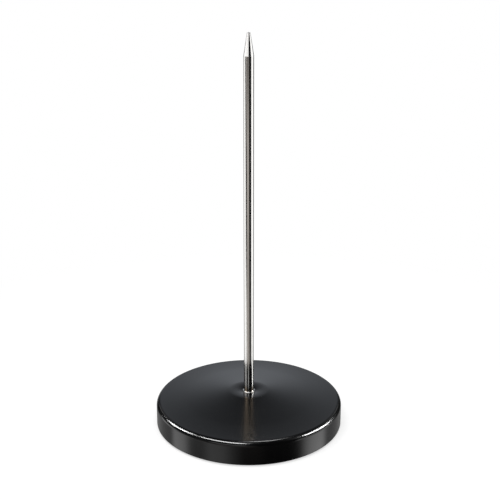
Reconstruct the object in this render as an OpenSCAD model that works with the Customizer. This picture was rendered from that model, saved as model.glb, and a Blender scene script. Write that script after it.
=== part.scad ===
// Receipt spike: a polished rod with a blunted point, standing on a round weighted base.
// The base is a pressed steel cover over a cast ballast. The rod's screwed spigot runs down
// through a collar, the cover and the ballast, and one nut on washers clamps the whole stack.
// Millimetres, +Z up, origin on the table under the middle of the base.

/* [Overall] */
// Height from the table to the end of the point
total_h = 200; // [150:1:260]
// Outside diameter of the base
base_d = 95; // [75:1:130]

/* [Spike rod] */
// Diameter of the rod
rod_d = 5; // [4.6:0.1:7]
// Length of the tapered point
tip_l = 11; // [6:0.5:25]
// Diameter of the blunt end of the point
tip_d = 1.7; // [1:0.1:3]
// Rounding round the blunt end
tip_edge_r = 0.4; // [0.1:0.1:0.5]
// Diameter of the screwed spigot below the rod's shoulder
spigot_d = 4; // [3:0.1:4.4]
// Length of spigot that shows below the nut
spigot_out = 1; // [0.5:0.1:2]
// Chamfer on the end of the spigot
spigot_chamfer = 0.5; // [0.2:0.1:0.9]
// Air between the end of the spigot and the table
end_clear = 1.2; // [0.5:0.1:3]

/* [Collar] */
// How far the collar stands out past the rod
collar_lip = 0.6; // [0.5:0.1:2]
// Height of the collar
collar_h = 0.3; // [0.3:0.1:3]
// Rounding on the collar's upper edge
collar_edge_r = 0.25; // [0.1:0.05:0.25]

/* [Base cover] */
// Thickness of the pressed sheet
cover_t = 1; // [0.6:0.1:1.5]
// Height of the straight wall, from its lower edge to the rim's bend
wall_h = 9.9; // [6:0.1:20]
// Outside radius of the rim's bend
rim_r = 2.4; // [1.8:0.1:5]
// Slope of the top at the rim, in degrees
rim_deg = 3; // [1:0.1:6]
// Width of the quick flare beside the rim, from the outside of the base inwards
flare_w = 15.5; // [8:0.5:25]
// Slope of the top at the inner end of the quick flare, in degrees
flare_deg = 7.2; // [6.5:0.1:9]
// Slope of the top below the crown, in degrees; a slow flare leads from there to the quick one
rise_deg = 10; // [8:0.1:14]
// Radius of the crown, where the top turns over into the dish
crown_r = 15; // [10:1:30]
// Slope of the dish round the collar, in degrees
dish_deg = 15.5; // [4:0.5:20]
// Radius of the hollow at the foot of the dish
dish_r = 1; // [0.5:0.1:5]
// Flat land of the seat outside the collar
seat_land = 0.4; // [0.3:0.1:3]

/* [Ballast] */
// Gap between the ballast and the cover's wall
ballast_gap = 0.5; // [0.2:0.1:2]
// Drop from the rim's bend to the top of the ballast
ballast_drop = 0.6; // [0.2:0.1:2]
// Chamfer on the ballast's edges
ballast_chamfer = 1; // [0.3:0.1:1.5]
// Wall of the hub's foot outside the nut pocket
hub_wall = 3; // [2:0.5:8]
// Room round the washer for a socket spanner
socket_room = 3; // [2:0.5:6]

/* [Nut and washers] */
// Width of the nut across its flats
nut_af = 7; // [6.6:0.1:8]
// Height of the nut
nut_h = 3.2; // [2:0.1:5]
// Corner chamfer of the nut, in degrees
nut_chamfer_deg = 30; // [15:1:40]
// Outside diameter of the plain washer
washer_d = 9; // [8.4:0.1:12]
// Thickness of the plain washer
washer_t = 0.8; // [0.5:0.1:1.6]
// Outside diameter of the split lock washer
lock_d = 7.6; // [6.6:0.1:8.4]
// Thickness of the split lock washer
lock_t = 1; // [0.6:0.1:1.6]
// Width of the split
lock_split = 0.8; // [0.4:0.1:1.5]
// Slant of the split, in degrees
lock_slant = 20; // [0:1:40]

/* [Base pad] */
// Thickness of the rubber pad
pad_t = 2; // [1.2:0.1:4]
// How far the pad stands below the cover's edge
pad_proud = 0.6; // [0.3:0.1:1]
// Step in from the ballast's edge to the pad's edge
pad_inset = 2; // [0.5:0.5:10]
// Step out from the nut pocket to the pad's hole
pad_hole_step = 1.5; // [0.5:0.5:8]
// Rounding on the pad's lower edges
pad_edge_r = 0.5; // [0.1:0.1:1]

/* [Fits] */
// Radial clearance of the spigot in the pieces that it passes through
spigot_clear = 0.15; // [0.05:0.05:0.4]
// Radial clearance between the spigot's thread and the nut's thread
thread_clear = 0.03; // [0.01:0.01:0.1]

/* [Hidden] */

// Widest step between the points of an arc, in degrees, and the fewest steps of any arc
arc_step = 6;
arc_least = 6;

// Radii
rod_r = rod_d / 2;
spigot_r = spigot_d / 2;
through_r = spigot_r + spigot_clear;
collar_r = rod_r + collar_lip;
seat_r = collar_r + seat_land;
base_r = base_d / 2;
ballast_r = base_r - cover_t - ballast_gap;
pocket_r = washer_d / 2 + socket_room;
hub_foot_r = pocket_r + hub_wall;
pad_r = ballast_r - pad_inset;
pad_hole_r = pocket_r + pad_hole_step;

// Heights of the clamped stack, from the table up to the face that the plain washer bears on
nut_z = end_clear + spigot_out;
lock_z = nut_z + nut_h;
washer_z = lock_z + lock_t;
pocket_z = washer_z + washer_t;

// The cover's outline, from the rim's bend inwards to the flat seat of the collar
edge_z = pad_proud;
bend_z = edge_z + wall_h;
rim_centre = [base_r - rim_r, bend_z];
rim_end = rim_centre + rim_r * [sin(rim_deg), cos(rim_deg)];
flare_end_r = base_r - flare_w;
quick_r = (rim_end[0] - flare_end_r) / (sin(flare_deg) - sin(rim_deg));
quick_centre = rim_end + quick_r * [sin(rim_deg), cos(rim_deg)];
flare_end = quick_centre - quick_r * [sin(flare_deg), cos(flare_deg)];
crown_end_r = seat_r + dish_r * sin(dish_deg) + crown_r * (sin(dish_deg) + sin(rise_deg));
slow_r = (flare_end_r - crown_end_r) / (sin(rise_deg) - sin(flare_deg));
slow_centre = flare_end + slow_r * [sin(flare_deg), cos(flare_deg)];
crown_end = slow_centre - slow_r * [sin(rise_deg), cos(rise_deg)];
crown_centre = crown_end - crown_r * [sin(rise_deg), cos(rise_deg)];
crown_start = crown_centre + crown_r * [-sin(dish_deg), cos(dish_deg)];
dish_centre = crown_start + dish_r * [-sin(dish_deg), cos(dish_deg)];
seat_z = dish_centre[1] - dish_r;

ballast_top = bend_z - ballast_drop;
hub_top = seat_z - cover_t;
shoulder_z = seat_z + collar_h;
taper_z = total_h - tip_l;

// Points along an arc about a centre, from one angle to another
function arc(centre, r, from, to) =
    let (steps = max(arc_least, ceil(abs(to - from) / arc_step)))
    [for (i = [0:steps])
        let (a = from + (to - from) * i / steps)
        centre + r * [cos(a), sin(a)]];

// Lean of the straight side that runs from a point to the flank of a small circle
function flank_lean(point, centre, r) =
    let (across = point[0] - centre[0], up = centre[1] - point[1])
    atan2(across, up) - asin(r / norm([across, up]));

// One side of the pressed sheet: depth 0 is the outer face, and cover_t the inner one
function cover_side(depth) = concat(
    [[through_r, seat_z - depth]],
    arc(dish_centre, dish_r + depth, -90, -90 + dish_deg),
    arc(crown_centre, crown_r - depth, 90 + dish_deg, 90 - rise_deg),
    arc(slow_centre, slow_r + depth, 270 - rise_deg, 270 - flare_deg),
    arc(quick_centre, quick_r + depth, 270 - flare_deg, 270 - rim_deg),
    arc(rim_centre, rim_r - depth, 90 - rim_deg, 0)
);

// Points of a list in the opposite order
function reversed(points) = [for (i = [len(points) - 1:-1:0]) points[i]];

// Flat ring with square edges
module ring(outer_r, inner_r, h) {
    difference() {
        cylinder(r = outer_r, h = h, $fn = 96);
        translate([0, 0, -h])
            cylinder(r = inner_r, h = 3 * h, $fn = 96);
    }
}

// Polished rod: blunted point, straight shank, shoulder and screwed spigot
module spike_rod() {
    end_centre = [tip_d / 2 - tip_edge_r, total_h - tip_edge_r];
    lean = flank_lean([rod_r, taper_z], end_centre, tip_edge_r);
    outline = concat(
        [
            [0, end_clear],
            [spigot_r - spigot_chamfer, end_clear],
            [spigot_r, end_clear + spigot_chamfer],
            [spigot_r, shoulder_z],
            [rod_r, shoulder_z],
            [rod_r, taper_z]
        ],
        arc(end_centre, tip_edge_r, lean, 90),
        [[0, total_h]]
    );
    color("silver")
        rotate_extrude($fn = 96)
            polygon(outline);
}

// Bright ring between the rod's shoulder and the cover, rounded on its upper edge
module rod_collar() {
    edge_centre = [collar_r - collar_edge_r, seat_z + collar_h - collar_edge_r];
    outline = concat(
        [
            [through_r, seat_z + collar_h],
            [through_r, seat_z],
            [collar_r, seat_z]
        ],
        arc(edge_centre, collar_edge_r, 0, 90)
    );
    color("gainsboro")
        rotate_extrude($fn = 96)
            polygon(outline);
}

// Pressed steel cover: straight wall, bent rim, flared top, and a dish that seats the collar
module base_cover() {
    edge_r = cover_t / 2;
    edge_centre = [base_r - edge_r, edge_z + edge_r];
    outline = concat(
        cover_side(0),
        arc(edge_centre, edge_r, 0, -180),
        reversed(cover_side(cover_t))
    );
    color([0.06, 0.06, 0.065])
        rotate_extrude($fn = 180)
            polygon(outline);
}

// Cast iron ballast: a heavy disc, a hub that carries the cover's seat, and a pocket for the nut
module ballast() {
    outline = [
        [through_r, hub_top],
        [through_r, pocket_z],
        [pocket_r, pocket_z],
        [pocket_r, pad_t],
        [ballast_r - ballast_chamfer, pad_t],
        [ballast_r, pad_t + ballast_chamfer],
        [ballast_r, ballast_top - ballast_chamfer],
        [ballast_r - ballast_chamfer, ballast_top],
        [hub_foot_r, ballast_top],
        [seat_r, hub_top]
    ];
    color("dimgray")
        rotate_extrude($fn = 120)
            polygon(outline);
}

// Plain washer that bears on the roof of the ballast's pocket
module plain_washer() {
    color("lightsteelblue")
        translate([0, 0, washer_z])
            ring(washer_d / 2, through_r, washer_t);
}

// Split lock washer, drawn flat as the nut holds it
module lock_washer() {
    color("lightslategray")
        translate([0, 0, lock_z])
            difference() {
                ring(lock_d / 2, through_r, lock_t);
                translate([lock_d / 2, 0, lock_t / 2])
                    rotate([lock_slant, 0, 0])
                        cube([lock_d, lock_split, 4 * lock_t], center = true);
            }
}

// Hexagon nut, chamfered on both faces
module clamp_nut() {
    corner_r = nut_af / 2 / cos(30);
    bevel_h = (corner_r - nut_af / 2) * tan(nut_chamfer_deg);
    barrel = [
        [0, 0],
        [nut_af / 2, 0],
        [corner_r, bevel_h],
        [corner_r, nut_h - bevel_h],
        [nut_af / 2, nut_h],
        [0, nut_h]
    ];
    color("lightgray")
        translate([0, 0, nut_z])
            difference() {
                intersection() {
                    cylinder(r = corner_r, h = nut_h, $fn = 6);
                    rotate_extrude($fn = 96)
                        polygon(barrel);
                }
                translate([0, 0, -nut_h])
                    cylinder(r = spigot_r + thread_clear, h = 3 * nut_h, $fn = 64);
            }
}

// Rubber pad under the ballast, with a hole that leaves the nut in reach
module base_pad() {
    outline = concat(
        [[pad_hole_r, pad_t], [pad_hole_r, pad_edge_r]],
        arc([pad_hole_r + pad_edge_r, pad_edge_r], pad_edge_r, 180, 270),
        arc([pad_r - pad_edge_r, pad_edge_r], pad_edge_r, -90, 0),
        [[pad_r, pad_t]]
    );
    color([0.1, 0.1, 0.1])
        rotate_extrude($fn = 120)
            polygon(outline);
}

spike_rod();
rod_collar();
base_cover();
ballast();
plain_washer();
lock_washer();
clamp_nut();
base_pad();
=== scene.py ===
# %% [markdown]
# # A receipt spike on a round base
# A receipt spike stands beside a till: a polished steel rod with a blunted point, on a heavy black
# base, over which paid slips are pushed. Its construction is already packed as exact solids, and
# this lesson dresses it. It loads the solids as a fixed frame, models the pieces that show with
# clean meshes, gives each piece its finish, and lights the whole as for a catalogue picture.
# Blender counts in metres. The sizes of the pieces are written in millimetres, as on a drawing.

from math import asin, atan2, cos, degrees, hypot, pi, radians, sin, tan

import bmesh
import bpy
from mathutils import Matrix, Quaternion, Vector


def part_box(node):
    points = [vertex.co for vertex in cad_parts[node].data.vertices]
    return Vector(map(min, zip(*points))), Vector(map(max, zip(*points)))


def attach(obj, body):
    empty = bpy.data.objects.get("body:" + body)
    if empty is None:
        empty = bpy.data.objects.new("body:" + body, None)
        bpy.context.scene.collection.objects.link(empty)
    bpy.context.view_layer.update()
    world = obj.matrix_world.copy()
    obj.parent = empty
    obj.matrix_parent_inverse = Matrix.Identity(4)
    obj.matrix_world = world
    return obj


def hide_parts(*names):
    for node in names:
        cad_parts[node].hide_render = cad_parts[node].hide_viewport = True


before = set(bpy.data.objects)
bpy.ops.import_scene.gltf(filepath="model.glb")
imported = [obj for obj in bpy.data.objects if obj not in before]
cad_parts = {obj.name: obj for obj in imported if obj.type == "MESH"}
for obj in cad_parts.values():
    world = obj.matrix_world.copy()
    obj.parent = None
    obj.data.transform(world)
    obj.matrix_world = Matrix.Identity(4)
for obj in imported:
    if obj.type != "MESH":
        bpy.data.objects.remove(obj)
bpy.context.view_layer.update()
scene = bpy.context.scene
print("solids in the frame:", ", ".join(sorted(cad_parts)))

# %% [markdown]
# ## Camera
# The picture looks down on the base at a shallow angle through a long lens, so the rod's sides stay
# nearly parallel. The camera could be placed by eye, but an eye can't tell a long lens far away
# from a short one close by. These few values come from fitting a camera to the oval of the base,
# to the height of its wall and to the rod's width at its foot and at its point.

# %% Place the camera
MM = 0.001
CAMERA_PITCH = radians(19.258)
CAMERA_DISTANCE = 542.4 * MM
AIM_POINT = Vector((0.6 * MM, 0, 93.57 * MM))
FOCAL_PIXELS = 1101.3
PICTURE_PIXELS = 500
SENSOR_MM = 36.0

camera_data = bpy.data.cameras.new("picture_camera")
camera_data.sensor_width = SENSOR_MM
camera_data.lens = FOCAL_PIXELS * SENSOR_MM / PICTURE_PIXELS
camera = bpy.data.objects.new("picture_camera", camera_data)
towards_camera = Vector((0, -cos(CAMERA_PITCH), sin(CAMERA_PITCH)))
camera.location = AIM_POINT + CAMERA_DISTANCE * towards_camera
camera.rotation_euler = (pi / 2 - CAMERA_PITCH, 0, 0)
scene.collection.objects.link(camera)
scene.camera = camera
camera_place = ", ".join(f"{metres:.4f}" for metres in camera.location)
print(f"camera with a {camera_data.lens:.1f} mm lens at {camera_place}")

# %% [markdown]
# ## Sizes
# Every piece here is round about the Z axis, so three numbers place it: its largest radius, the
# height of its foot and the height of its top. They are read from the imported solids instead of
# being typed again, because a number that is written twice will differ one day.

# %% Read the sizes of the round pieces
def round_size(node):
    """Largest radius, foot and top of a solid that is round about Z, in millimetres."""
    low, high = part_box(node)
    return high.x / MM, low.z / MM, high.z / MM


rod_r, spigot_end, point_z = round_size("spike_rod")
collar_r, seat_z, shoulder_z = round_size("rod_collar")
base_r, edge_z, crown_z = round_size("base_cover")
pad_r, table_z, pad_top = round_size("base_pad")
_, _, hub_top = round_size("ballast")
print(f"rod {2 * rod_r:.2f} mm thick and {point_z:.1f} mm high, base {2 * base_r:.2f} mm across")

# %% [markdown]
# ## Turning a piece
# The real rod and collar come off a lathe, and the cover is pressed between round dies. The nearest
# thing that Blender has is the spin: draw half of the section as a few corners, spin it once round
# the axis, then bevel the circles that the corners drew. A bevel on a finished circle keeps the
# outline short, and its width says directly which bend radius the sheet gets. A Weighted Normal
# modifier then lets the large faces set the shading, so a bend doesn't smear it across a flat.

# %% Helpers that spin a section
FULL_TURN = 2 * pi
WELD = 0.0001 * MM


def draw_section(shape, corners, closed):
    """Draws half a section from (radius, height) corners in millimetres, and returns its parts."""
    points = [shape.verts.new((radius * MM, 0, height * MM)) for radius, height in corners]
    ends = points[1:] + points[:1] if closed else points[1:]
    for point, end in zip(points, ends):
        shape.edges.new((point, end))
    return shape.verts[:] + shape.edges[:]


def turn(corners, steps, closed=False):
    """Spins half a section once round Z."""
    shape = bmesh.new()
    section = draw_section(shape, corners, closed)
    bmesh.ops.spin(shape, geom=section, cent=(0, 0, 0), axis=(0, 0, 1), angle=FULL_TURN, steps=steps,
                   use_merge=True)
    bmesh.ops.remove_doubles(shape, verts=shape.verts, dist=WELD)
    bmesh.ops.recalc_face_normals(shape, faces=shape.faces)
    return shape


# %% Helpers that round a corner
RING_CATCH = 0.002 * MM
SQUARE_DEG = 90


def ring_edges(shape, corner):
    """The edges of the circle that a corner drew."""
    radius, height = corner

    def on_ring(vert):
        away = hypot(vert.co.x, vert.co.y) - radius * MM
        return abs(away) < RING_CATCH and abs(vert.co.z - height * MM) < RING_CATCH

    return [edge for edge in shape.edges if all(on_ring(vert) for vert in edge.verts)]


def tangent_length(bend_r, bend_deg):
    """How far a bend of that radius reaches along each side of the corner that it rounds."""
    return bend_r * tan(radians(bend_deg) / 2)


def round_ring(shape, corner, reach, segments):
    """Rounds the circle that a corner drew, with a bend that reaches that far along both sides."""
    edges = ring_edges(shape, corner)
    bmesh.ops.bevel(shape, geom=edges, offset=reach * MM, offset_type="OFFSET", affect="EDGES",
                    segments=segments, profile=0.5, material=-1)


# %% Helpers that make a piece
def add_object(shape, name):
    """Makes a finished bmesh an object in the scene."""
    mesh = bpy.data.meshes.new(name)
    shape.to_mesh(mesh)
    shape.free()
    made = bpy.data.objects.new(name, mesh)
    scene.collection.objects.link(made)
    return made


def make_piece(shape, name, node=None):
    """Makes a finished bmesh a smooth piece that rides on the part and may stand for a solid."""
    piece = add_object(shape, name)
    piece.data.shade_smooth()
    shading = piece.modifiers.new("even_shading", "WEIGHTED_NORMAL")
    shading.keep_sharp = True
    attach(piece, "root")
    if node:
        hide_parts(node)
    print(f"{name}: {len(piece.data.polygons)} faces")
    return piece


# %% [markdown]
# ## Spike rod
# The rod is drawn bar, turned to a cone at its top and blunted so that it pricks paper and not
# fingers. Below it ends in a shoulder and a thinner spigot with a thread, which the base hides. A
# cylinder and a cone could be joined, but a seam would show where they meet, so the whole outline is
# spun at once. The edge where the cone begins is crisp on the real rod, so it gets only a hair of a
# bevel, which catches the light as a turned edge does.

# %% Set out the point and the spigot
POINT_L = 11.0
POINT_D = 1.7
POINT_EDGE_R = 0.4
SPIGOT_R = 2.0
THREAD_PITCH = 0.7
DEPTH_TO_PITCH = 0.61

cone_foot = (rod_r, point_z - POINT_L)
blunt_across = rod_r - (POINT_D / 2 - POINT_EDGE_R)
blunt_up = POINT_L - POINT_EDGE_R
cone_lean = atan2(blunt_across, blunt_up) - asin(POINT_EDGE_R / hypot(blunt_across, blunt_up))
blunt_corner = (rod_r - POINT_L * tan(cone_lean), point_z)
shoulder = (rod_r, shoulder_z)
root_r = SPIGOT_R - DEPTH_TO_PITCH * THREAD_PITCH
print(f"cone leans {degrees(cone_lean):.2f} degrees, thread is {2 * root_r:.2f} mm thick at its root")

# %% Turn the spike rod
SPIGOT_CHAMFER = 0.35
CRISP_EDGE = 0.06
CRISP_SEGMENTS = 3
BLUNT_SEGMENTS = 8
ROD_STEPS = 128

rod_shape = turn([
    (0, spigot_end),
    (root_r - SPIGOT_CHAMFER, spigot_end),
    (root_r, spigot_end + SPIGOT_CHAMFER),
    (root_r, hub_top),
    (SPIGOT_R, hub_top),
    (SPIGOT_R, shoulder_z),
    shoulder,
    cone_foot,
    blunt_corner,
    (0, point_z),
], ROD_STEPS)
for crisp_corner in (cone_foot, shoulder):
    round_ring(rod_shape, crisp_corner, CRISP_EDGE, CRISP_SEGMENTS)
blunt_reach = tangent_length(POINT_EDGE_R, SQUARE_DEG - degrees(cone_lean))
round_ring(rod_shape, blunt_corner, blunt_reach, BLUNT_SEGMENTS)
spike_rod = make_piece(rod_shape, "polished_rod", "spike_rod")

# %% [markdown]
# ## Thread
# Turn the spike over and the end of the spigot looks out of the nut, with a turn or two of its
# thread. A bump could paint the grooves, but the thread would then vanish from the side. A spin that
# climbs one pitch with each turn draws the true helix from a single four-cornered section.

# %% Wind the thread
THREAD_TURNS = 7
TURN_STEPS = 48
ROOT_OVERLAP = 0.04
CREST_FLAT = THREAD_PITCH / 8

thread_foot = spigot_end + SPIGOT_CHAMFER
root_in = root_r - ROOT_OVERLAP
crest_low = (THREAD_PITCH - CREST_FLAT) / 2
crest_high = crest_low + CREST_FLAT
root_high = THREAD_PITCH - CREST_FLAT
thread_corners = [
    (root_in, thread_foot + CREST_FLAT),
    (SPIGOT_R, thread_foot + crest_low),
    (SPIGOT_R, thread_foot + crest_high),
    (root_in, thread_foot + root_high),
]
thread_shape = bmesh.new()
thread_section = draw_section(thread_shape, thread_corners, closed=True)
bmesh.ops.spin(thread_shape, geom=thread_section, cent=(0, 0, 0), axis=(0, 0, 1),
               dvec=(0, 0, THREAD_PITCH * MM / TURN_STEPS), angle=FULL_TURN * THREAD_TURNS,
               steps=TURN_STEPS * THREAD_TURNS)
bmesh.ops.holes_fill(thread_shape, edges=thread_shape.edges, sides=len(thread_corners))
bmesh.ops.recalc_face_normals(thread_shape, faces=thread_shape.faces)
spigot_thread = make_piece(thread_shape, "spigot_thread")

# %% [markdown]
# ## Collar
# A thin bright ring closes the joint between the rod and the cover. A torus would be quick to add,
# but the real one is a flat turned washer with a full round on its upper edge. So a flat section is
# spun, and only that edge is bevelled. The round is what shows: it gathers every light in the room
# into one thin line.

# %% Turn the collar
COLLAR_BORE_R = 2.15
COLLAR_EDGE_R = 0.25
COLLAR_SEGMENTS = 8
COLLAR_STEPS = 128

collar_crest = (collar_r, shoulder_z)
collar_shape = turn([
    (COLLAR_BORE_R, seat_z),
    (collar_r, seat_z),
    collar_crest,
    (COLLAR_BORE_R, shoulder_z),
], COLLAR_STEPS, closed=True)
round_ring(collar_shape, collar_crest, COLLAR_EDGE_R, COLLAR_SEGMENTS)
collar = make_piece(collar_shape, "foot_collar", "rod_collar")

# %% [markdown]
# ## Base cover
# The cover is one sheet of steel, pressed to a shallow flared hill with a dished seat in the middle,
# bent over at the rim and drawn down into a straight wall. Subdivision would round such bends too,
# but only to about the right radius. So seven corners hold the section, and each bend is a bevel of
# its own reach. The hill's hollow flare is two bevels, a slow one from the crown and a quicker one
# towards the rim, so wide that each takes up its two sides whole, but for a hair that keeps
# neighbours apart. Last of all the skin gets its thickness inwards, which keeps the outside where the
# dies put it, and the raw edge at the foot is rolled to a full round.

# %% Set out the corners of the cover
RIM_BEND_R = 2.4
RIM_DEG = 3.0
FLARE_W = 15.5
FLARE_DEG = 7.2
RISE_DEG = 10.0
CROWN_BEND_R = 15.0
DISH_DEG = 15.5
DISH_BEND_R = 1.0
SEAT_LAND = 0.4


def along(point, length, slope_deg):
    """The point that far along a line which rises outwards at that slope."""
    slope = radians(slope_deg)
    return (point[0] + length * cos(slope), point[1] + length * sin(slope))


seat_reach = tangent_length(DISH_BEND_R, DISH_DEG)
crown_reach = tangent_length(CROWN_BEND_R, DISH_DEG + RISE_DEG)
rim_reach = tangent_length(RIM_BEND_R, SQUARE_DEG - RIM_DEG)
seat_corner = (collar_r + SEAT_LAND + seat_reach, seat_z)
crown_corner = along(seat_corner, seat_reach + crown_reach, DISH_DEG)
rise_cos = cos(radians(RISE_DEG))
flare_cos = cos(radians(FLARE_DEG))
rim_cos = cos(radians(RIM_DEG))
flare_end_r = base_r - FLARE_W
slow_width = flare_end_r - crown_corner[0] - crown_reach * rise_cos
slow_reach = slow_width / (rise_cos + flare_cos)
quick_width = FLARE_W - rim_reach * rim_cos
quick_reach = quick_width / (flare_cos + rim_cos)
slow_flare = along(crown_corner, crown_reach + slow_reach, -RISE_DEG)
quick_flare = along(slow_flare, slow_reach + quick_reach, -FLARE_DEG)
rim_corner = along(quick_flare, quick_reach + rim_reach, -RIM_DEG)
print(f"rim corner at {rim_corner[1]:.3f} mm, crown at {crown_z:.3f} mm")

# %% Press the base cover
SHEET_T = 1.0
HAIR = 0.01
COVER_STEPS = 240
SEAT_SEGMENTS = 8
CROWN_SEGMENTS = 12
FLARE_SEGMENTS = 14
RIM_SEGMENTS = 18
FOOT_SEGMENTS = 5

cover_shape = turn([
    (COLLAR_BORE_R, seat_z),
    seat_corner,
    crown_corner,
    slow_flare,
    quick_flare,
    rim_corner,
    (base_r, edge_z),
], COVER_STEPS)
for corner, reach, segments in [
    (seat_corner, seat_reach, SEAT_SEGMENTS),
    (crown_corner, crown_reach, CROWN_SEGMENTS),
    (slow_flare, slow_reach, FLARE_SEGMENTS),
    (quick_flare, quick_reach, FLARE_SEGMENTS),
    (rim_corner, rim_reach, RIM_SEGMENTS),
]:
    round_ring(cover_shape, corner, reach - HAIR, segments)
bmesh.ops.recalc_face_normals(cover_shape, faces=cover_shape.faces)
bmesh.ops.solidify(cover_shape, geom=cover_shape.faces[:], thickness=SHEET_T * MM)
for foot_r in (base_r, base_r - SHEET_T):
    round_ring(cover_shape, (foot_r, edge_z), SHEET_T / 2 - HAIR, FOOT_SEGMENTS)
base_cover = make_piece(cover_shape, "enamelled_cover", "base_cover")

# %% [markdown]
# ## Base pad
# A ring of sheet rubber keeps the iron off the counter and stops the base from sliding. A disc with
# a hole cut by a Boolean would do, but a closed section that is spun once needs no cleaning up. The
# die that stamps the pad rounds its lower edges, so the two lower circles are bevelled.

# %% Stamp the base pad
PAD_HOLE_R = 9.0
PAD_EDGE_R = 0.5
PAD_SEGMENTS = 5
PAD_STEPS = 180

pad_shape = turn([
    (PAD_HOLE_R, table_z),
    (pad_r, table_z),
    (pad_r, pad_top),
    (PAD_HOLE_R, pad_top),
], PAD_STEPS, closed=True)
for edge_r in (PAD_HOLE_R, pad_r):
    round_ring(pad_shape, (edge_r, table_z), PAD_EDGE_R, PAD_SEGMENTS)
base_pad = make_piece(pad_shape, "rubber_pad", "base_pad")

# %% [markdown]
# ## Finishes
# A finish is a small network of nodes. Each one starts from Object coordinates, which are metres on
# the piece itself, so a grain keeps its real size and stays put when the camera moves. Noise gives
# the variation, a Map Range node turns it into a roughness or a height, and a colour ramp turns it
# into a colour. Whatever is the same all over is set on the shader itself.

# %% Helpers for nodes
def feed(tree, socket, value):
    """Links an output to a socket, or sets the socket to a plain value."""
    if isinstance(value, bpy.types.NodeSocket):
        tree.links.new(value, socket)
    else:
        socket.default_value = value


def add_node(tree, kind, **inputs):
    """Adds a node. An input named from_min is its From Min socket: a value, or an output to link."""
    node = tree.nodes.new("ShaderNode" + kind)
    for name, value in inputs.items():
        feed(tree, node.inputs[name.replace("_", " ").title()], value)
    return node


def fill_in_order(tree, node, values):
    """Feeds a node's sockets one after the other, and returns its output."""
    for socket, value in zip(node.inputs, values):
        feed(tree, socket, value)
    return node.outputs[0]


def compute(tree, operation, *values):
    """One Math node, with values or outputs in its sockets."""
    node = tree.nodes.new("ShaderNodeMath")
    node.operation = operation
    return fill_in_order(tree, node, values)


# %% Helpers for patterns
def object_place(tree):
    """Metres on the piece itself."""
    return add_node(tree, "TexCoord").outputs["Object"]


def stretched(tree, scale):
    """Object coordinates, stretched by a factor for each axis."""
    return add_node(tree, "Mapping", vector=object_place(tree), scale=scale).outputs["Vector"]


def length_of(tree, vector):
    """How long a vector is."""
    node = add_node(tree, "VectorMath", vector=vector)
    node.operation = "LENGTH"
    return node.outputs["Value"]


def noise(tree, vector, scale, layers):
    """Even noise around 0.5, with so many features to the metre and so many layers of detail."""
    return add_node(tree, "TexNoise", vector=vector, scale=scale, detail=layers).outputs["Fac"]


def remap(tree, value, source, target):
    """Turns one range of numbers into another, and stops at its ends."""
    made = add_node(tree, "MapRange", value=value, from_min=source[0], from_max=source[1],
                    to_min=target[0], to_max=target[1])
    return made.outputs["Result"]


# %% Helpers for finishes
def start_finish(name):
    """A new material, with its node tree and its Principled shader."""
    finish = bpy.data.materials.new(name)
    finish.use_nodes = True
    return finish, finish.node_tree, finish.node_tree.nodes["Principled BSDF"]


def tint(tree, factor, first, second):
    """A colour between two, by a factor from 0 to 1."""
    ramp = add_node(tree, "ValToRGB", fac=factor)
    ramp.color_ramp.elements[0].color = (*first, 1)
    ramp.color_ramp.elements[1].color = (*second, 1)
    return ramp.outputs["Color"]


def raise_surface(tree, shader, height, depth_mm):
    """Lets a height from 0 to 1 raise the surface by so many millimetres, in the shading."""
    bump = add_node(tree, "Bump", height=height, distance=depth_mm * MM)
    tree.links.new(bump.outputs["Normal"], shader.inputs["Normal"])


def dress(finish, *pieces):
    """Gives these pieces the finish, in place of any that they had."""
    for piece in pieces:
        piece.data.materials.clear()
        piece.data.materials.append(finish)
    print(f"{finish.name} on {', '.join(piece.name for piece in pieces)}")


# %% [markdown]
# ## Polished steel
# Drawn bar keeps faint lines along its length, however well it is polished. A picture of scratches
# would have to be unwrapped round the rod, and would repeat. Noise that is squeezed across the rod and
# stretched along it gives the lines without either. They change the roughness a little, which softens
# the mirror in streaks, and raise the surface by less than a thousandth of a millimetre. The mirror as
# a whole is a soft one, so the edges of what it shows melt into each other.

# %% Polished steel
ALL_METAL = 1.0
STEEL_COLOUR = (0.80, 0.79, 0.77)
STEEL_SHADE = (0.74, 0.73, 0.71)
STEEL_ROUGHNESS = (0.135, 0.165)
TOUCH_ROUGHNESS = (0.0, 0.02)
OFTEN_TOUCHED = (0.45, 0.75)
TYPICAL_NOISE = (0.3, 0.7)
DRAWN_LINES = (2600, 2600, 14)
AS_STRETCHED = 1.0
LINE_HEIGHT_MM = 0.0003
HANDLING = 70
SOME_LAYERS = 3.0

polished_steel, tree, shader = start_finish("polished_steel")
shader.inputs["Metallic"].default_value = ALL_METAL
lines = noise(tree, stretched(tree, DRAWN_LINES), AS_STRETCHED, SOME_LAYERS)
touches = noise(tree, object_place(tree), HANDLING, SOME_LAYERS)
line_rough = remap(tree, lines, TYPICAL_NOISE, STEEL_ROUGHNESS)
touch_rough = remap(tree, touches, OFTEN_TOUCHED, TOUCH_ROUGHNESS)
tree.links.new(compute(tree, "ADD", line_rough, touch_rough), shader.inputs["Roughness"])
tree.links.new(tint(tree, lines, STEEL_SHADE, STEEL_COLOUR), shader.inputs["Base Color"])
raise_surface(tree, shader, lines, LINE_HEIGHT_MM)
dress(polished_steel, spike_rod, spigot_thread, collar)

# %% [markdown]
# ## Satin black enamel
# Stoved enamel flows out almost flat and keeps a very fine orange peel. Its colour is nearly black,
# and what the eye reads as grey is the room, mirrored softly. A grey base colour could stand in for
# that, but it would look the same from every side. So the work is in the gloss: a roughness that
# drifts a little over the surface, is lower on the rim, where hands polish it, and is higher at the
# foot, where the counter scuffs it.

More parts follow.
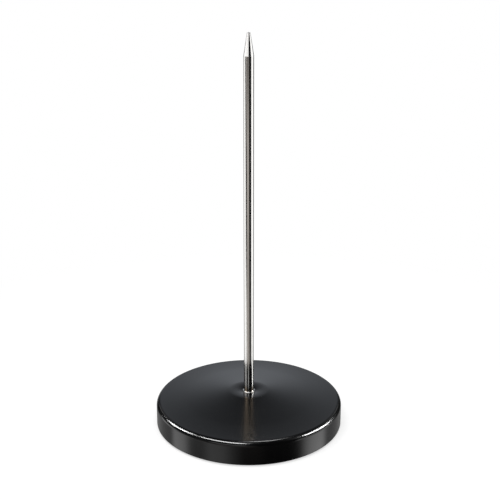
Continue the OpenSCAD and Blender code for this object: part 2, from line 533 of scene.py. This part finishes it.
# %% Satin black enamel
ENAMEL_DARK = (0.0014, 0.0014, 0.0016)
ENAMEL_PALE = (0.0026, 0.0026, 0.0029)
ENAMEL_IOR = 1.5
ENAMEL_ROUGHNESS = (0.185, 0.215)
RIM_POLISH = (0.0, 0.03)
FOOT_SCUFF = (0.0, 0.05)
SCUFF_HEIGHT = 1.2
PEEL = 850
PEEL_HEIGHT_MM = 0.0012
DRIFT = 38
FEW_LAYERS = 2.0

satin_black, tree, shader = start_finish("satin_black")
shader.inputs["IOR"].default_value = ENAMEL_IOR
place = object_place(tree)
peel = noise(tree, place, PEEL, FEW_LAYERS)
drift = noise(tree, place, DRIFT, SOME_LAYERS)
axes = add_node(tree, "SeparateXYZ", vector=place).outputs
flat_place = add_node(tree, "CombineXYZ", x=axes["X"], y=axes["Y"]).outputs["Vector"]
rim_zone = ((base_r - 2 * RIM_BEND_R) * MM, (base_r - RIM_BEND_R / 2) * MM)
foot_zone = ((edge_z + SCUFF_HEIGHT) * MM, edge_z * MM)
rim_share = remap(tree, length_of(tree, flat_place), rim_zone, RIM_POLISH)
foot_share = remap(tree, axes["Z"], foot_zone, FOOT_SCUFF)
satin = remap(tree, drift, TYPICAL_NOISE, ENAMEL_ROUGHNESS)
satin = compute(tree, "SUBTRACT", satin, rim_share)
tree.links.new(compute(tree, "ADD", satin, foot_share), shader.inputs["Roughness"])
tree.links.new(tint(tree, drift, ENAMEL_DARK, ENAMEL_PALE), shader.inputs["Base Color"])
raise_surface(tree, shader, peel, PEEL_HEIGHT_MM)
dress(satin_black, base_cover)

# %% [markdown]
# ## Sheet rubber
# The pad is matt, with the fine grain of sheet stock and a little dust. The grain could be modelled,
# but it is far finer than any face of the mesh, so it is a bump. Slower noise lays the dust on the
# colour and on the roughness alike.

# %% Sheet rubber
RUBBER_GRAIN = 2400
GRAIN_HEIGHT_MM = 0.03
RUBBER_DUST = 120
RUBBER_ROUGHNESS = (0.78, 0.92)
RUBBER_DARK = (0.018, 0.018, 0.019)
RUBBER_DUSTY = (0.034, 0.033, 0.032)
RUBBER_SPECULAR = 0.3
MORE_LAYERS = 4.0

black_rubber, tree, shader = start_finish("black_rubber")
shader.inputs["Specular IOR Level"].default_value = RUBBER_SPECULAR
place = object_place(tree)
grain = noise(tree, place, RUBBER_GRAIN, SOME_LAYERS)
dust = noise(tree, place, RUBBER_DUST, MORE_LAYERS)
tree.links.new(remap(tree, dust, TYPICAL_NOISE, RUBBER_ROUGHNESS), shader.inputs["Roughness"])
tree.links.new(tint(tree, dust, RUBBER_DARK, RUBBER_DUSTY), shader.inputs["Base Color"])
raise_surface(tree, shader, grain, GRAIN_HEIGHT_MM)
dress(black_rubber, base_pad)

# %% [markdown]
# ## Cast iron
# The ballast is as it left its mould, dark and rough from the sand. Its solid has the right shape
# already, so it stays and only gets a finish. The skin of a casting is neither bare metal nor paint,
# and a Metallic value about half way between the two looks most like it.

# %% Cast iron
MOULD_SAND = 900
SAND_HEIGHT_MM = 0.12
IRON_STAIN = 90
IRON_ROUGHNESS = (0.5, 0.72)
IRON_DARK = (0.085, 0.083, 0.08)
IRON_PALE = (0.16, 0.158, 0.155)
IRON_METALLIC = 0.55
MANY_LAYERS = 5.0

cast_iron, tree, shader = start_finish("cast_iron")
shader.inputs["Metallic"].default_value = IRON_METALLIC
place = object_place(tree)
sand = noise(tree, place, MOULD_SAND, MANY_LAYERS)
stain = noise(tree, place, IRON_STAIN, MORE_LAYERS)
tree.links.new(remap(tree, stain, TYPICAL_NOISE, IRON_ROUGHNESS), shader.inputs["Roughness"])
tree.links.new(tint(tree, stain, IRON_DARK, IRON_PALE), shader.inputs["Base Color"])
raise_surface(tree, shader, sand, SAND_HEIGHT_MM)
dress(cast_iron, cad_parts["ballast"])

# %% [markdown]
# ## Zinc plate
# The nut and the washers are plated with zinc, which is a dull, mottled silver. Their solids stay
# too. One even grey would look like plastic, so slow noise varies the colour and the roughness, and
# fast noise raises the fine crystals of the plating.

# %% Zinc plate
ZINC_MOTTLE = 520
ZINC_CRYSTALS = 3000
CRYSTAL_HEIGHT_MM = 0.004
ZINC_ROUGHNESS = (0.26, 0.4)
ZINC_DARK = (0.5, 0.51, 0.53)
ZINC_PALE = (0.68, 0.69, 0.7)

zinc_plate, tree, shader = start_finish("zinc_plate")
shader.inputs["Metallic"].default_value = ALL_METAL
place = object_place(tree)
mottle = noise(tree, place, ZINC_MOTTLE, SOME_LAYERS)
crystals = noise(tree, place, ZINC_CRYSTALS, FEW_LAYERS)
tree.links.new(remap(tree, mottle, TYPICAL_NOISE, ZINC_ROUGHNESS), shader.inputs["Roughness"])
tree.links.new(tint(tree, mottle, ZINC_DARK, ZINC_PALE), shader.inputs["Base Color"])
raise_surface(tree, shader, crystals, CRYSTAL_HEIGHT_MM)
dress(zinc_plate, *[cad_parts[node] for node in ("plain_washer", "lock_washer", "clamp_nut")])

# %% [markdown]
# ## Floor
# The object stands on a white sweep. The floor is white for the camera by its own colour, and only
# a patch round the base takes real light, which is where the soft shadow falls. It is kept out of
# the mirrors, because the surround below draws what they see, and it is clear from underneath so
# that the pad can be looked at.

# %% Lay the floor
FLOOR_HALF = 6.0

floor_shape = bmesh.new()
bmesh.ops.create_grid(floor_shape, x_segments=1, y_segments=1, size=FLOOR_HALF)
floor = add_object(floor_shape, "floor")
floor.visible_diffuse = False
floor.visible_glossy = False
floor.visible_transmission = False
floor.visible_shadow = False
print(f"floor {2 * FLOOR_HALF:.0f} m across")

# %% Paint the floor
PATCH_ZONE = (0.06, 0.26)
NONE_TO_ALL = (0.0, 1.0)
PATCH_WHITE = 0.62
PATCH_COLOUR = (0.42, 0.42, 0.42, 1)
PURE_WHITE = 1.0


def join_shaders(tree, kind, *shaders):
    """An Add or Mix Shader node, with its sockets filled in order."""
    return fill_in_order(tree, tree.nodes.new("ShaderNode" + kind), shaders)


white_floor = bpy.data.materials.new("white_floor")
white_floor.use_nodes = True
tree = white_floor.node_tree
tree.nodes.clear()
far_share = remap(tree, length_of(tree, object_place(tree)), PATCH_ZONE, NONE_TO_ALL)
own_white = add_node(tree, "Emission", strength=PATCH_WHITE).outputs[0]
lit_white = add_node(tree, "BsdfDiffuse", color=PATCH_COLOUR).outputs[0]
pure_white = add_node(tree, "Emission", strength=PURE_WHITE).outputs[0]
clear = add_node(tree, "BsdfTransparent").outputs[0]
patch = join_shaders(tree, "AddShader", own_white, lit_white)
upper_face = join_shaders(tree, "MixShader", far_share, patch, pure_white)
underneath = add_node(tree, "NewGeometry").outputs["Backfacing"]
floor_shader = join_shaders(tree, "MixShader", underneath, upper_face, clear)
tree.links.new(floor_shader, add_node(tree, "OutputMaterial").inputs["Surface"])
dress(white_floor, floor)

# %% [markdown]
# ## Surround
# A mirror has no look of its own, so polished steel is only as good as what stands around it. Real
# walls and cards could be built, but a World that is drawn by direction does the same, and its cards
# fade softly at their edges. The rod shows a white wall on each side, the left one with an edge that
# leans, and a warm grey card and a black one in front. The cover's top shows a cool panel behind, and
# its wall shows how bright the table is on each side.

# %% Helpers for the surround
def soft_step(tree, value, start, end):
    """Rises smoothly from 0 to 1 as the value goes from start to end."""
    node = add_node(tree, "MapRange", value=value, from_min=start, from_max=end)
    node.interpolation_type = "SMOOTHSTEP"
    return node.outputs["Result"]


def soft_band(tree, value, dark_from, full_from, full_to, dark_to):
    """Is 1 between the two full angles, and fades to 0 at the two dark ones."""
    rise = soft_step(tree, value, dark_from, full_from)
    fall = soft_step(tree, value, dark_to, full_to)
    return compute(tree, "MULTIPLY", rise, fall)


def backdrop_light(tree, colour, strength):
    """A Background shader of one colour."""
    return add_node(tree, "Background", color=(*colour, 1), strength=strength).outputs[0]


# %% Directions round the object
TURNED_ROUND = -1.0
LEAN = 3.0
LEAN_FROM = -17.0
LEAN_TO = -9.0

studio = bpy.data.worlds.new("studio")
scene.world = studio
studio.use_nodes = True
tree = studio.node_tree
tree.nodes.clear()
direction = add_node(tree, "TexCoord").outputs["Generated"]
axes = add_node(tree, "SeparateXYZ", vector=direction).outputs
towards_front = compute(tree, "MULTIPLY", axes["Y"], TURNED_ROUND)
azimuth = compute(tree, "DEGREES", compute(tree, "ARCTAN2", axes["X"], towards_front))
elevation = compute(tree, "DEGREES", compute(tree, "ARCSINE", axes["Z"]))
from_front = compute(tree, "ABSOLUTE", azimuth)
lean_height = compute(tree, "MINIMUM", elevation, LEAN_TO)
lean_height = compute(tree, "SUBTRACT", lean_height, LEAN_FROM)
leaning = compute(tree, "MULTIPLY_ADD", lean_height, LEAN, azimuth)
print(f"azimuth 0 is the camera's side, and a leaning edge moves {LEAN} degrees per degree of height")

# %% List the cards
WHITE = (1.0, 1.0, 1.0)
COOL = (0.90, 0.95, 1.03)
TAUPE = (1.0, 0.93, 0.87)
ALL_ROUND = (-20, -10, 190, 200)
TABLE_SIDE = (-110, -100, -29, -24)
BELOW_HORIZON = (-110, -100, -14, -8)
# Each card: the angle it goes by, four azimuths and four elevations, its colour and its strength.
# The four angles of a side are dark from, full from, full to and dark to, in degrees.
CARDS = {
    "table": (from_front, ALL_ROUND, BELOW_HORIZON, WHITE, 0.30),
    "far_table": (from_front, (126, 142, 160, 172), TABLE_SIDE, WHITE, 0.30),
    "back_panel": (from_front, (146, 178, 200, 210), (-4, 7, 9, 55.5), COOL, 0.66),
    "warm_front": (azimuth, (-70, -60, 30, 34), (-28, -24, -4, 0), TAUPE, 0.36),
    "pale_front": (azimuth, (-46, -40, -2, 4), (-18.5, -17, -13.5, -12), TAUPE, 0.54),
    "dim_front": (azimuth, (-46, -40, 6, 10), (-12.5, -10.5, -3, 0), TAUPE, 0.13),
    "left_wall": (leaning, (-150, -130, -70, -64), (-28, -24, -5, -1), WHITE, 1.3),
    "right_wall": (azimuth, (50, 54, 112, 119), (-28, -22, -5, -1), WHITE, 1.3),
    "dark_seam": (azimuth, (-74, -70, -41, -37), (-22, -20, -15, -11), WHITE, 0.0),
    "left_wall_on_table": (azimuth, (-114, -102, -90, -74), TABLE_SIDE, WHITE, 1.58),
    "right_wall_on_table": (azimuth, (62, 86, 100, 115), TABLE_SIDE, WHITE, 2.1),
    "warm_front_on_table": (azimuth, (-62, -46, -36, -16), TABLE_SIDE, WHITE, 0.84),
    "dark_front_on_table": (azimuth, (-22, -4, 60, 74), TABLE_SIDE, WHITE, 0.0),
    "front_card": (azimuth, (-47, -42, -6, -2), (-1, 2, 14, 20), WHITE, 1.15),
    "black_card": (azimuth, (4, 10, 56, 60), (-27, -24, 66, 78), WHITE, 0.0),
    "warm_foot": (azimuth, (-46, -40, 12, 22), (-27, -26, -24, -21), TAUPE, 0.44),
    "dark_corners": (from_front, (124, 130, 140, 165), (-24, -14, 30, 45), WHITE, 0.02),
    "dark_back": (from_front, (158, 168, 200, 210), (-110, -100, -14, -2), WHITE, 0.06),
}
print(f"{len(CARDS)} cards for the surround")

# %% Hang the cards
ROOM = 0.09


def hang_cards(behind, cards):
    """Lays cards over what is behind them, each faded out at its edges."""
    for angle, sideways, upright, colour, strength in cards.values():
        across = soft_band(tree, angle, *sideways)
        upwards = soft_band(tree, elevation, *upright)
        mask = compute(tree, "MULTIPLY", across, upwards)
        card = backdrop_light(tree, colour, strength)
        behind = join_shaders(tree, "MixShader", mask, behind, card)
    return behind


surround = hang_cards(backdrop_light(tree, COOL, ROOM), CARDS)
print(f"cards hung in a cool room of strength {ROOM}")

# %% [markdown]
# ## A mirror in a mirror
# The rod's foot shows the black cover, and the cover shows the rod as a faint streak. What is seen
# there has met two mirrors, and Light Path counts them as Ray Depth. So a second set of cards can
# stand for those places alone: white and warm lights that draw the streak and the foot's bright
# lines, round a dark front. Matt surfaces get an even light instead of any card, and the camera sees
# plain white.

# %% Hang the cards for the second mirror
WARM = (1.0, 0.80, 0.60)
SECOND_BOUNCE = 2.5
SECOND_CARDS = {
    "dark_front": (azimuth, (-52, -46, 80, 86), (1, 4, 66, 78), WHITE, 0.0),
    "left_light": (azimuth, (-108, -100, -53, -47), (2, 8, 30, 36), WHITE, 1.8),
    "left_warm_light": (azimuth, (-108, -100, -53, -47), (30, 36, 50, 60), WARM, 2.7),
    "right_light": (azimuth, (84, 90, 106, 112), (2, 6, 32, 40), WHITE, 9.5),
    "right_warm_light": (azimuth, (80, 88, 112, 120), (32, 38, 52, 60), WARM, 2.7),
    "front_light": (azimuth, (-18, -14, -2, 1), (2, 5, 40, 46), WHITE, 1.9),
}


def first_mirror(tree):
    """Is 1 for what a mirror shows of the room itself, and 0 for what it shows of another mirror."""
    bounces = add_node(tree, "LightPath").outputs["Ray Depth"]
    return compute(tree, "LESS_THAN", bounces, SECOND_BOUNCE)


second = hang_cards(surround, SECOND_CARDS)
surround = join_shaders(tree, "MixShader", first_mirror(tree), second, surround)
print(f"{len(SECOND_CARDS)} more cards for the second mirror")

# %% Join the surround, the even light and the white for the camera
AMBIENT = 0.55

rays = add_node(tree, "LightPath").outputs
even_light = backdrop_light(tree, WHITE, AMBIENT)
camera_white = backdrop_light(tree, WHITE, PURE_WHITE)
seen = join_shaders(tree, "MixShader", rays["Is Glossy Ray"], even_light, surround)
seen = join_shaders(tree, "MixShader", rays["Is Camera Ray"], seen, camera_white)
tree.links.new(seen, add_node(tree, "OutputWorld").inputs["Surface"])
print(f"even light of {AMBIENT} for matt surfaces")

# %% [markdown]
# ## Softboxes
# The bright line along the rim is four panels: a strip at each side, rolled so that its end tapers, a
# long one in front and a small one overhead. Three more are for the collar, which draws them as one
# thin crescent. Two low ones whiten the sides of the point, and one behind it whitens its blunt tip.
# Those for the rim are strong, because enamel mirrors only a twentieth of what it sees. So light
# linking keeps each panel on its own piece, and all of them shine into the first mirror only.

# %% Helper for softboxes
RIM_POINT = Vector((0, 0, 12 * MM))


def softbox(name, azimuth_deg, elevation_deg, distance, size, watts, roll_deg=0):
    """A rectangular lamp that faces the rim from a direction. Azimuth 0 is the camera's side."""
    around = radians(azimuth_deg)
    above = radians(elevation_deg)
    outwards = Vector((sin(around) * cos(above), -cos(around) * cos(above), sin(above)))
    data = bpy.data.lights.new(name, "AREA")
    data.shape = "RECTANGLE"
    data.size, data.size_y = size
    data.energy = watts
    lamp = bpy.data.objects.new(name, data)
    lamp.location = RIM_POINT + outwards * distance
    roll = Quaternion((0, 0, 1), radians(roll_deg))
    lamp.rotation_euler = (outwards.to_track_quat("Z", "Y") @ roll).to_euler()
    lamp.visible_camera = False
    scene.collection.objects.link(lamp)
    print(f"{name}: {watts} W at {distance} m")
    return lamp


# %% [markdown]
# ## Flags
# The rim's panels are there for its bright line alone. Seen from a side, the cover's broad top would
# mirror one of them too, and turn white. A photographer holds a flag there, a card that keeps a lamp
# off one part of the object. Here one flag shades the top and another the rim. Each is a copy of the
# cover's own faces, a hair off them. No ray sees it, and shadow linking puts it in the way of chosen
# lamps. The World casts no shadows of its own here, so the flags take nothing from the surround.

# %% Hold a flag over the top and one over the rim
FLAG_GAP = 0.2
FLAG_SLOPE = radians(32)


def on_top(face):
    """Whether a face of the cover belongs to its top."""
    return face.normal.z > cos(FLAG_SLOPE)


def hold_flag(name, shaded):
    """A card that no ray sees, a hair off those faces of the cover that it shades."""
    shape = bmesh.new()
    shape.from_mesh(base_cover.data)
    others = [face for face in shape.faces if not shaded(face)]
    bmesh.ops.delete(shape, geom=others, context="FACES")
    shape.normal_update()
    for vert in shape.verts:
        vert.co += vert.normal * FLAG_GAP * MM
    flag = add_object(shape, name)
    flag.visible_camera = False
    flag.visible_diffuse = False
    flag.visible_glossy = False
    flag.visible_transmission = False
    print(f"{name}: {len(flag.data.polygons)} faces")
    return flag


top_flag = hold_flag("top_flag", on_top)
rim_flag = hold_flag("rim_flag", lambda face: not on_top(face))
studio.cycles.sampling_method = "NONE"

# %% Helpers for linked panels
NO_FADE = (1.0, 1.0)


def group_of(name, pieces):
    """A collection of these pieces, for light linking."""
    group = bpy.data.collections.new(name)
    for piece in pieces:
        group.objects.link(piece)
    return group


def link_panel(panel, lit, shades, fade=NO_FADE):
    """Lets a panel shine on one piece and into the first mirror only, faded from its foot upwards."""
    panel.data.use_nodes = True
    tree = panel.data.node_tree
    panel_place = add_node(tree, "NewGeometry").outputs["Parametric"]
    upwards = add_node(tree, "SeparateXYZ", vector=panel_place).outputs["Y"]
    faded = remap(tree, upwards, NONE_TO_ALL, fade)
    strength = compute(tree, "MULTIPLY", first_mirror(tree), faded)
    tree.links.new(strength, tree.nodes["Emission"].inputs["Strength"])
    panel.visible_diffuse = False
    panel.light_linking.receiver_collection = group_of("lit_by_" + panel.name, [lit])
    panel.light_linking.blocker_collection = group_of("shading_" + panel.name, shades)


# %% Panels for the bright lines
PANEL_DISTANCE = 0.8
FOR_RIM = (base_cover, (top_flag, base_cover, spike_rod))
FOR_TOP_EDGE = (base_cover, (base_cover, spike_rod))
FOR_RING = (collar, (base_cover, spike_rod))
FOR_POINT = (spike_rod, (base_cover, spike_rod))
# Each panel: what it lights and what shades it, its azimuth, elevation, width and height, watts, roll
PANELS = {
    "left_strip": (FOR_RIM, -104, 38, (0.42, 0.26), 9.6, 35),
    "front_panel": (FOR_RIM, -42, 57, (0.63, 0.16), 8.8, 0),
    "right_strip": (FOR_RIM, 92.5, 25.5, (0.54, 0.26), 16.0, -31),
    "top_panel": (FOR_TOP_EDGE, 150, 76, (0.28, 0.16), 1.4, 0),
    "ring_panel": (FOR_RING, -32, 45, (1.30, 1.40), 10.5, 0),
    "left_ring_panel": (FOR_RING, -98, 40, (0.60, 0.80), 2.4, 0),
    "right_ring_panel": (FOR_RING, 80, 40, (0.60, 0.80), 2.4, 0),
    "left_point_panel": (FOR_POINT, -82, 16.5, (1.25, 0.19), 0.97, 0),
    "right_point_panel": (FOR_POINT, 87, 16.5, (1.04, 0.19), 0.81, 0),
    "tip_panel": (FOR_POINT, 180, 60, (1.40, 0.90), 7.0, 0),
}
for name, (linked, around_deg, above_deg, size, watts, roll_deg) in PANELS.items():
    panel = softbox(name, around_deg, above_deg, PANEL_DISTANCE, size, watts, roll_deg)
    link_panel(panel, *linked)

# %% [markdown]
# ## Light for the other sides
# The surround is drawn for one view, and from anywhere else the broad top would mirror a dark room
# and lose its shape. Seven panels stand round the object for the top alone, with the rim's flag in
# their way. Each is bright at its foot and fades upwards, so the shallow hill is shaded from back to
# front, as it is in the picture.

# %% Panels for the top
FULL_CIRCLE_DEG = 360
FOR_TOP = (base_cover, (rim_flag, base_cover, spike_rod))
SIDE_AZIMUTHS = (-125, -85, -45, 0, 45, 85, 125)
SIDE_ELEVATION = 28
SIDE_SIZE = (0.60, 0.60)
SIDE_WATTS = 0.6
SIDE_FADE = (2.0, 0.0)

for around_deg in SIDE_AZIMUTHS:
    name = f"side_panel_{around_deg % FULL_CIRCLE_DEG}"
    panel = softbox(name, around_deg, SIDE_ELEVATION, PANEL_DISTANCE, SIDE_SIZE, SIDE_WATTS)
    link_panel(panel, *FOR_TOP, fade=SIDE_FADE)

# %% [markdown]
# ## Light for the matt surfaces
# Cards and panels are for mirrors. Rubber, iron and the floor need a plain lamp from above, which also
# casts the soft shadow round the base. A sun would do, but a broad softbox gives the shadow a softer
# edge. Its level is one at which a colour renders about as it is written, and no mirror shows it.

# %% Hang a plain lamp
LAMP_AZIMUTH = -25
LAMP_ELEVATION = 72
LAMP_DISTANCE = 1.4
LAMP_SIZE = (1.2, 1.2)
LAMP_WATTS = 14.0

plain_lamp = softbox("plain_lamp", LAMP_AZIMUTH, LAMP_ELEVATION, LAMP_DISTANCE, LAMP_SIZE, LAMP_WATTS)
plain_lamp.visible_glossy = False

# %% [markdown]
# ## View settings
# The Standard view shows a colour as it is.

# %% Set the view
scene.view_settings.view_transform = "Standard"
